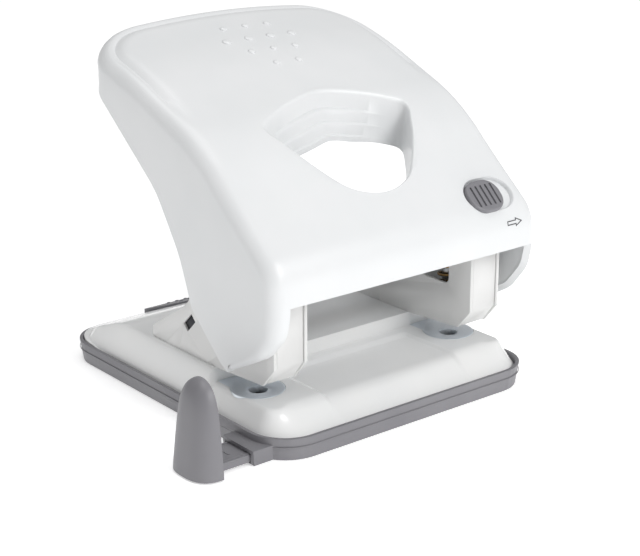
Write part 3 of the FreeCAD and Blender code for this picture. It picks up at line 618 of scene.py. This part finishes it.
makeGripDots()
makeArrow()
print("dots and arrow made")


# ---- bedplate ----

bed = {
    "half": 52.45, "front": -26.35, "rear": 91.25, "corner": 12.3, "foot": 5.4, "rearFoot": 8.0, "gauge": 1.5,
    "sideSkirt": 4.2, "frontSkirt": 9.5, "rearSkirt": 24.0, "stop": 12.5, "stopRise": 4.3,
    "recessHalf": 27.0, "recessRear": 7.0, "recessDepth": 0.8, "cell": 1.1,
    "notchRadius": 34.0, "notchBack": 115.65,
    "dieRadius": 8.6, "dieNeck": 12.4, "holeSpacing": 80.0, "towerHalf": 6.45, "cutSpan": (0, 30),
}


def skirtShares(x, y):
    # distances from the outline in skirt widths; round a front corner the width turns from side to front
    across = abs(x) - (bed["half"] - bed["corner"])
    ahead = bed["front"] + bed["corner"] - y
    if across > 0 and ahead > 0:
        turn = math.atan2(ahead, across) / (math.pi / 2)
        inside = bed["corner"] - math.hypot(across, ahead)
        return [inside / mix(bed["sideSkirt"], bed["frontSkirt"], ease(0.0, 1.0, turn))]
    return [(bed["half"] - abs(x)) / bed["sideSkirt"], (y - bed["front"]) / bed["frontSkirt"],
            (bed["rear"] - y) / bed["rearSkirt"]]


def bedHeight(x, y):
    # pressed sheet: sloping skirts that round into the paper plane and the higher rear
    nearness = skirtShares(x, y)
    reach = 1.25 - math.sqrt(sum(max(0.0, 1.25 - share) ** 2 for share in nearness))
    rise = reach if reach < 0.75 else 1 - (1.25 - reach) ** 2
    top = paperZ + bed["stopRise"] * ease(bed["stop"] - 0.7, bed["stop"] + 0.7, y)
    sunk = bed["recessDepth"] * (1 - ease(bed["recessHalf"] - 1.2, bed["recessHalf"] + 0.8, abs(x)))
    sunk *= 1 - ease(bed["recessRear"] - 1.5, bed["recessRear"] + 1.5, y)
    foot = mix(bed["foot"], bed["rearFoot"], ease(60, 86, y))
    return mix(foot, top, max(0.0, rise)) - sunk * max(0.0, rise)


def bedPlace(x, y):
    # a point of a square ring moves onto the ring with rounded corners
    halfY = (bed["rear"] - bed["front"]) / 2
    midY = (bed["rear"] + bed["front"]) / 2
    ring = min(bed["half"] - abs(x), halfY - abs(y - midY))
    radius = bed["corner"] - ring
    if radius > 0:
        centreX, centreY = bed["half"] - bed["corner"], halfY - bed["corner"]
        if abs(x) > centreX and abs(y - midY) > centreY:
            away = Vector((abs(x) - centreX, abs(y - midY) - centreY)).normalized() * radius
            return math.copysign(centreX + away.x, x), midY + math.copysign(centreY + away.y, y - midY)
    return x, y


def bedMarks(low, high, fine):
    # positions from low to high, closer together at both ends and where fine lists a span
    marks = [low]
    while marks[-1] < high - 1e-6:
        here = marks[-1]
        close = min(here - low, high - here) < 6 or any(a <= here <= b for a, b in fine)
        marks.append(min(high, here + (0.4 if close else bed["cell"])))
    return marks


def mergeInto(shape, parts):
    # adds other shapes to this one and frees them
    for part in parts:
        piece = bpy.data.meshes.new("part")
        part.to_mesh(piece)
        part.free()
        shape.from_mesh(piece)
        bpy.data.meshes.remove(piece)


def joinCutters(shapes, name):
    mesh = bpy.data.meshes.new(name)
    joined = bmesh.new()
    mergeInto(joined, shapes)
    bmesh.ops.scale(joined, vec=(mm, mm, mm), verts=joined.verts)
    bmesh.ops.recalc_face_normals(joined, faces=joined.faces)
    joined.to_mesh(mesh)
    joined.free()
    cutter = bpy.data.objects.new(name, mesh)
    bpy.context.scene.collection.objects.link(cutter)
    return cutter


def cutAway(piece, cutter):
    cut = piece.modifiers.new("cut", "BOOLEAN")
    cut.operation = "DIFFERENCE"
    cut.solver = "EXACT"
    cut.use_self = True
    cut.object = cutter
    bpy.context.view_layer.update()
    bakeModifiers(piece)
    bpy.data.objects.remove(cutter)


def boxShape(low, high):
    shape = bmesh.new()
    bmesh.ops.create_cube(shape, size=1.0)
    low, high = Vector(low), Vector(high)
    size = high - low
    bmesh.ops.scale(shape, vec=size, verts=shape.verts)
    bmesh.ops.translate(shape, vec=(low + high) / 2, verts=shape.verts)
    return shape


def discShape(x, y, radius, low, high, segments=96):
    shape = bmesh.new()
    bmesh.ops.create_cone(shape, cap_ends=True, segments=segments, radius1=radius, radius2=radius,
                          depth=high - low)
    bmesh.ops.translate(shape, vec=(x, y, (low + high) / 2), verts=shape.verts)
    return shape


def makeBedplate():
    columns = bedMarks(-bed["half"], bed["half"], [(25, 29), (-29, -25)])
    rows = bedMarks(bed["front"], bed["rear"], [(5, 9), (bed["stop"] - 1.5, bed["stop"] + 1.5)])
    shape = bmesh.new()
    bmesh.ops.create_grid(shape, x_segments=len(columns) - 1, y_segments=len(rows) - 1, size=0.5)
    for vert in shape.verts:
        column = round((vert.co.x + 0.5) * (len(columns) - 1))
        row = round((vert.co.y + 0.5) * (len(rows) - 1))
        x, y = bedPlace(columns[column], rows[row])
        behindStop = rows[row] > bed["stop"]
        vert.co = Vector((x, y, bedHeight(columns[column], rows[row]) if behindStop else bedHeight(x, y)))
    # the bedplate takes the brightened white: painted light on the bed under the cover
    piece = makePiece("bedPressing", shape, "base", "white_steel", material=brightenedBedWhite,
                      replaced=["bedplate"], smoothAngle=180)
    sheet = piece.modifiers.new("gauge", "SOLIDIFY")
    sheet.thickness = bed["gauge"] * mm
    sheet.offset = -1
    bakeModifiers(piece)
    low, high = bed["cutSpan"]
    cutters = [discShape(0, bed["notchBack"], bed["notchRadius"], low, high, 160)]
    for side in (-1, 1):
        x = side * bed["holeSpacing"] / 2
        cutters.append(discShape(x, 0, bed["dieRadius"], low, high))
        cutters.append(boxShape((x - bed["towerHalf"], 0, low + 1),
                                (x + bed["towerHalf"], bed["dieNeck"], high - 1)))
    cutAway(piece, joinCutters(cutters, "bedCutters"))
    return piece


makeBedplate()
print("bedplate made")


# ---- paper guide ----

guide = {
    "face": -70.5, "middle": -14.7, "halfWidth": 9.6, "bulge": 8.2, "foot": 0.5, "top": 29.3,
    "armFront": -20.5, "armRear": -8.5, "armLow": 1.05, "armHigh": 3.55, "armEnd": 44.0,
}


def finSection(share, angle):
    # a D-shaped section that narrows towards the rounded top
    closing = math.sqrt(max(0.0, 1 - share ** 9))
    width = guide["halfWidth"] * (1 - 0.3 * share ** 1.35) * closing
    bulge = guide["bulge"] * (1 - 0.4 * share) * closing
    across, out = math.cos(angle), math.sin(angle)
    power = 2 / 2.7
    y = math.copysign(abs(across) ** power, across) * width
    x = abs(out) ** power * bulge if out > 0 else 0.0
    return Vector((guide["face"] - x, guide["middle"] + y + 0.4 * share,
                   mix(guide["foot"], guide["top"], share)))


def makePaperGuide():
    shape = bmesh.new()
    segments, levels = 64, 40
    bmesh.ops.create_circle(shape, cap_ends=True, segments=segments, radius=1.0)
    ring = list(shape.verts)
    turns = {vert: math.atan2(vert.co.y, vert.co.x) for vert in ring}
    edges = list(shape.edges)
    for vert in ring:
        vert.co = finSection(0.0, turns[vert])
    for level in range(1, levels + 1):
        share = 1 - (1 - level / levels) ** 1.6
        edges, verts = extrudeRing(shape, edges)
        raised = {}
        for vert in verts:
            below = [edge.other_vert(vert) for edge in vert.link_edges if edge.other_vert(vert) in turns]
            raised[vert] = turns[below[0]]
        turns = raised
        for vert in verts:
            vert.co = finSection(share, turns[vert])
    bmesh.ops.remove_doubles(shape, verts=shape.verts, dist=0.02)
    bar = boxShape((guide["face"] - 1, guide["armFront"], guide["armLow"]),
                   (guide["armEnd"], guide["armRear"], guide["armHigh"]))
    bmesh.ops.bevel(bar, geom=bar.edges, offset=0.35, segments=3, affect="EDGES", profile=0.5, material=-1)
    mergeInto(shape, [bar] + guideTicks())
    return makePiece("sideGuide", shape, "guide", "grey_plastic", replaced=["paper_guide"], smoothAngle=50)


def guideTicks():
    # a raised rail along each edge of the arm and plain ticks between them
    parts = []
    top = guide["armHigh"]
    for y in (guide["armFront"] + 0.9, guide["armRear"] - 0.9):
        parts.append(boxShape((guide["face"], y - 0.35, top - 0.1),
                              (guide["armEnd"] - 1, y + 0.35, top + 0.22)))
    for i in range(22):
        x = -68.2 + i * 5.0
        long = 3.4 if i % 2 == 0 else 2.0
        parts.append(boxShape((x - 0.3, -14.5 - long, top - 0.1), (x + 0.3, -14.5 + long, top + 0.16)))
    return parts


makePaperGuide()
print("paper guide made")


# ---- return springs ----

spring = {"radius": 3.75, "wire": 0.45, "turns": 8.0, "low": 26.3, "high": 49.9, "stepsPerTurn": 40,
          "joint": "pin_{}_press", "travel": 8.0}


def makeSpring(side, x):
    shape = bmesh.new()
    wire = bmesh.ops.create_circle(shape, segments=12, radius=spring["wire"])["verts"]
    place = Matrix.Translation((spring["radius"], 0, 0)) @ Matrix.Rotation(math.pi / 2, 4, "X")
    bmesh.ops.transform(shape, matrix=place, verts=wire)
    steps = round(spring["stepsPerTurn"] * spring["turns"])
    low, high = spring["low"] + spring["wire"], spring["high"] - spring["wire"]
    start = list(shape.edges)
    bmesh.ops.spin(shape, geom=start, axis=(0, 0, 1), cent=(0, 0, 0), dvec=(0, 0, (high - low) / steps),
                   angle=2 * math.pi * spring["turns"], steps=steps, use_merge=False)
    ends = [edge for edge in shape.edges if len(edge.link_faces) == 1]
    bmesh.ops.holes_fill(shape, edges=ends, sides=0)
    bmesh.ops.translate(shape, vec=(x, 0, low), verts=shape.verts)
    piece = makePiece(f"coil{side.capitalize()}", shape, "base", "spring_steel",
                      replaced=[f"return_spring_{side}"], smoothAngle=60)
    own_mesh(piece)


for side, x in (("left", -40.0), ("right", 40.0)):
    makeSpring(side, x)
print("springs made")


# ---- chip tray details ----

tray = {"half": 53.85, "front": -27.75, "rear": 92.65, "corner": 13.6, "beadUp": 4.3, "bead": 0.22,
        "dotRows": ((84.4, 4), (87.4, 6), (90.2, 8)), "dotRadius": 0.75, "tabHalf": 22.0, "tabRadius": 33.6,
        "tabCentre": 115.65, "tabRear": 91.6, "tabFoot": 6.9, "tabLow": 9.3, "tabSlope": 0.3}


def makeTrayBead():
    # the fine parting bead that runs round the tray's wall
    plate = boxShape((-tray["half"], tray["front"], tray["beadUp"] - tray["bead"]),
                     (tray["half"], tray["rear"], tray["beadUp"] + tray["bead"]))
    upright = [edge for edge in plate.edges if abs(edge.verts[0].co.z - edge.verts[1].co.z) > 0.1]
    bmesh.ops.bevel(plate, geom=upright, offset=tray["corner"], segments=16, affect="EDGES", profile=0.5,
                    material=-1)
    caps = [face for face in plate.faces if abs(face.normal.z) > 0.9]
    bmesh.ops.delete(plate, geom=caps, context="FACES_ONLY")
    wall = list(plate.faces)
    made = bmesh.ops.extrude_face_region(plate, geom=wall)["geom"]
    verts = [item for item in made if isinstance(item, bmesh.types.BMVert)]
    for vert in verts:
        centre = Vector((0, (tray["front"] + tray["rear"]) / 2, vert.co.z))
        vert.co = vert.co + (vert.co - centre).normalized() * 0.2
        vert.co.z = mix(vert.co.z, tray["beadUp"], 0.7)
    return makePiece("trayBead", plate, "tray", "grey_plastic")


def tabHeight(y):
    return tray["tabLow"] + (tray["tabRear"] - y) * tray["tabSlope"]


def makeFingerTab():
    # fills the notch in the bedplate's rear slope and follows its fall
    shape = bmesh.new()
    bmesh.ops.create_grid(shape, x_segments=28, y_segments=6, size=0.5)
    for vert in shape.verts:
        x = vert.co.x * 2 * tray["tabHalf"]
        front = tray["tabCentre"] - math.sqrt(tray["tabRadius"] ** 2 - x * x)
        y = mix(front, tray["tabRear"], vert.co.y + 0.5)
        vert.co = Vector((x, y, tabHeight(y)))
    edges = [edge for edge in shape.edges if len(edge.link_faces) == 1]
    edges, verts = extrudeRing(shape, edges)
    for vert in verts:
        vert.co.z = tray["tabFoot"]
    return makePiece("fingerTab", shape, "tray", "grey_plastic", smoothAngle=40)


def makeTabDots():
    shape = bmesh.new()
    for y, count in tray["dotRows"]:
        for i in range(count):
            x = (i - (count - 1) / 2) * 3.6
            addDome(shape, Vector((x, y, tabHeight(y))), Vector((0, tray["tabSlope"], 1)),
                    tray["dotRadius"], 0.4)
    return makePiece("tabDots", shape, "tray", "grey_plastic", smoothAngle=180)


makeTrayBead()
makeFingerTab()
makeTabDots()
print("tray details made")


# ---- softened edges on the pieces whose shape is already right ----

slimmed = {"lock_bolt": 0.66}                   # section scale, so the bolt clears the cover's track
flushTop = {"chip_tray": 7.25}                  # the finger tab is a piece of its own above this, mm
draft = {"chip_tray": 0.8}                      # how far the foot of a drafted wall stands in, mm
edgeRound = {"chip_tray": 0.45, "lock_button": 0.2, "lever_frame": 0.25, "tie_bar": 0.2}
standard = 0.22
replacedNodes = {"handle_cover", "bedplate", "paper_guide", "return_spring_left", "return_spring_right"}


trayMiddle = (tray["front"] + tray["rear"]) / 2


def softenNode(node):
    shape = bmesh.new()
    shape.from_mesh(frame["nodes"][node].data)
    bmesh.ops.remove_doubles(shape, verts=shape.verts, dist=0.002 * mm)
    bmesh.ops.dissolve_limit(shape, angle_limit=math.radians(1.0), verts=shape.verts, edges=shape.edges)
    bmesh.ops.scale(shape, vec=(1 / mm, 1 / mm, 1 / mm), verts=shape.verts)
    if node in slimmed:
        middle = sum((vert.co for vert in shape.verts), Vector()) / len(shape.verts)
        bmesh.ops.scale(shape, vec=(1, slimmed[node], slimmed[node]), space=Matrix.Translation(-middle),
                        verts=shape.verts)
    for vert in shape.verts:
        vert.co.z = min(vert.co.z, flushTop.get(node, vert.co.z))
        if node in draft and vert.co.z < 0.5:
            vert.co.x *= 1 - draft[node] / tray["half"]
            vert.co.y -= (vert.co.y - trayMiddle) * draft[node] / (tray["rear"] - trayMiddle)
    piece = makePiece(f"{node}_finished", shape, bodyOf[node], slotOf[node], replaced=[node], smoothAngle=30,
                      fixNormals=False)
    rounding = piece.modifiers.new("edges", "BEVEL")
    rounding.width = edgeRound.get(node, standard) * mm
    rounding.segments = 3
    rounding.limit_method = "ANGLE"
    rounding.angle_limit = math.radians(38)
    rounding.use_clamp_overlap = True
    rounding.harden_normals = True
    rounding.miter_outer = "MITER_ARC"
    bakeModifiers(piece, 30)


for node in sorted(set(frame["nodes"]) - replacedNodes):
    softenNode(node)
print("edges softened")


# ---- camera, floor and light ----

view = {"place": (-316.3, -372.7, 207.2), "yaw": 38.91, "pitch": 18.84, "lens": 91.61}


def makeCamera():
    camera = bpy.data.cameras.new("camera")
    camera.lens = view["lens"]
    camera.sensor_width = 36.0
    camera.sensor_fit = "HORIZONTAL"
    holder = bpy.data.objects.new("camera", camera)
    holder.location = [v * mm for v in view["place"]]
    holder.rotation_euler = (math.radians(90 - view["pitch"]), 0, math.radians(-view["yaw"]))
    bpy.context.scene.collection.objects.link(holder)
    bpy.context.scene.camera = holder


def makeFloor():
    shape = bmesh.new()
    bmesh.ops.create_grid(shape, x_segments=2, y_segments=2, size=4.0)
    mesh = bpy.data.meshes.new("studioFloor")
    shape.to_mesh(mesh)
    shape.free()
    floor = bpy.data.objects.new("studioFloor", mesh)
    bpy.context.scene.collection.objects.link(floor)
    material, _, shader = newMaterial("paperSweep", "#ffffff", 0.9)
    shader.inputs["Specular IOR Level"].default_value = 0.0
    shader.inputs["Emission Color"].default_value = linearColour("#ffffff")
    shader.inputs["Emission Strength"].default_value = 0.4
    mesh.materials.append(material)


def addLight(name, place, size, watts):
    lamp = bpy.data.lights.new(name, "AREA")
    lamp.shape = "SQUARE"
    lamp.size = size
    lamp.energy = watts
    holder = bpy.data.objects.new(name, lamp)
    holder.location = place
    holder.rotation_euler = (-Vector(place)).to_track_quat("-Z", "Y").to_euler()
    bpy.context.scene.collection.objects.link(holder)


def makeLight():
    world = bpy.data.worlds.new("studio")
    bpy.context.scene.world = world
    world.use_nodes = True
    world.node_tree.nodes["Background"].inputs["Color"].default_value = (1, 1, 1, 1)
    world.node_tree.nodes["Background"].inputs["Strength"].default_value = 0.35
    addLight("keySoftbox", (0.3, -1.15, 0.95), 0.7, 9.4)
    addLight("topSoftbox", (-0.1, 0.2, 1.4), 1.0, 6.6)
    addLight("lowFill", (0.1, -1.1, 0.38), 0.4, 1.0)
    bpy.context.scene.view_settings.view_transform = "Standard"
    bpy.context.scene.view_settings.look = "None"


makeCamera()
makeFloor()
makeLight()
print("stage made")
